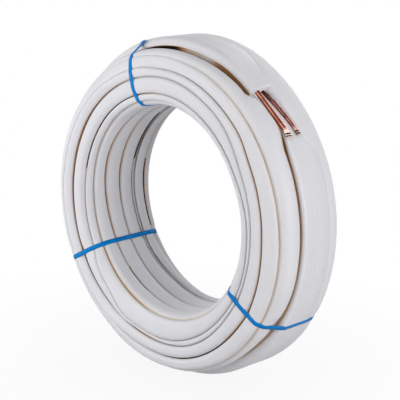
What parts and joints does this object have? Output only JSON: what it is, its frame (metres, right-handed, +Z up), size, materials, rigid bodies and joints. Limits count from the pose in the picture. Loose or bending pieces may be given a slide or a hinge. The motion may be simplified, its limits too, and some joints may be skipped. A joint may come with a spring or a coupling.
{
  "type": "coil of insulated twin copper tube",
  "caption": "Coil of twin copper tube in white foam insulation, wound in layers around an open bore, held by blue straps, with bare pinched copper ends on the rim.",
  "frame": {"origin": "on the floor, under the middle of the coil, which stands on its rim as in the picture", "axes": "+Z up, +Y along the coil's axis from its front end to its back end, +X to the right seen from the front end"},
  "size_m": [0.566, 0.1428, 0.566],
  "materials": {
    "foam_sleeve": "white closed-cell polyethylene foam with a smooth skin",
    "copper": null,
    "strap": "blue polypropylene strapping"
  },
  "bodies": {
    "root": {"insulated_coil": "foam_sleeve", "large_tube_end": "copper", "small_tube_end": "copper", "strap_top": "strap", "strap_left": "strap", "strap_right": "strap"}
  },
  "joints": []
}
